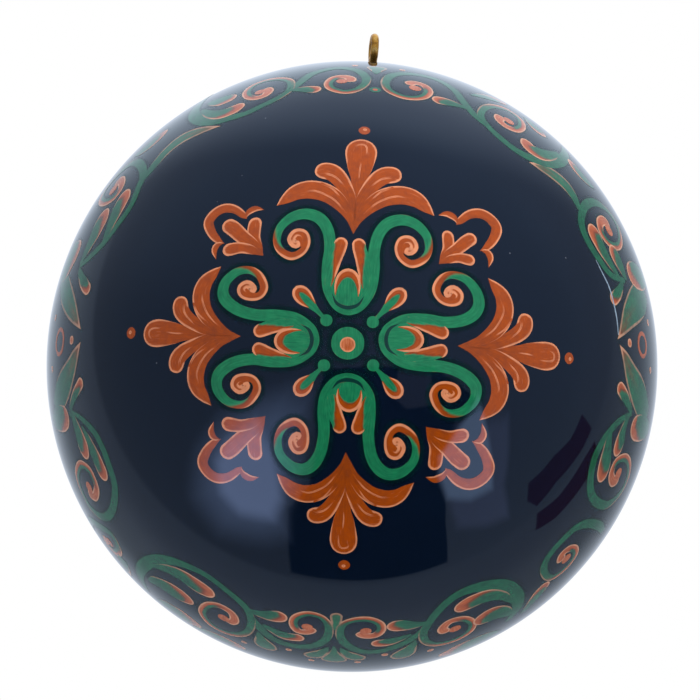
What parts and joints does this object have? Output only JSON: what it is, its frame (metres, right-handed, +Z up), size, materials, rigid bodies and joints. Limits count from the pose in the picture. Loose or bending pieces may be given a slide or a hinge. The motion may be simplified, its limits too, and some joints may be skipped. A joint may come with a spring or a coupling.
{
  "type": "painted ball ornament",
  "caption": "Hanging ball ornament: a hollow turned wooden ball in dark gloss lacquer with a painted scroll medallion and wreath, hung from a small brass screw eye.",
  "frame": {"origin": "the point inside the top of the screw eye's ring where a hook or thread bears, on the ball's axis", "axes": "+Z up along the ball's axis through the screw eye, -Y towards the front medallion, +X to the right as seen from the front"},
  "size_m": [0.1, 0.1, 0.1052],
  "materials": {
    "lacquer": "dark blue ground with painted ornament under clear gloss lacquer",
    "limewood": "turned, unfinished inside",
    "hardwood": "turned",
    "wood_glue": "dried glue film",
    "brass_wire": "bright, slightly worn"
  },
  "bodies": {
    "root": {"upper_shell": "limewood", "lower_shell": "limewood", "glue_seam": "wood_glue", "crown_plug": "hardwood", "screw_eye": "brass_wire", "lacquer_coat": "lacquer"}
  },
  "joints": []
}
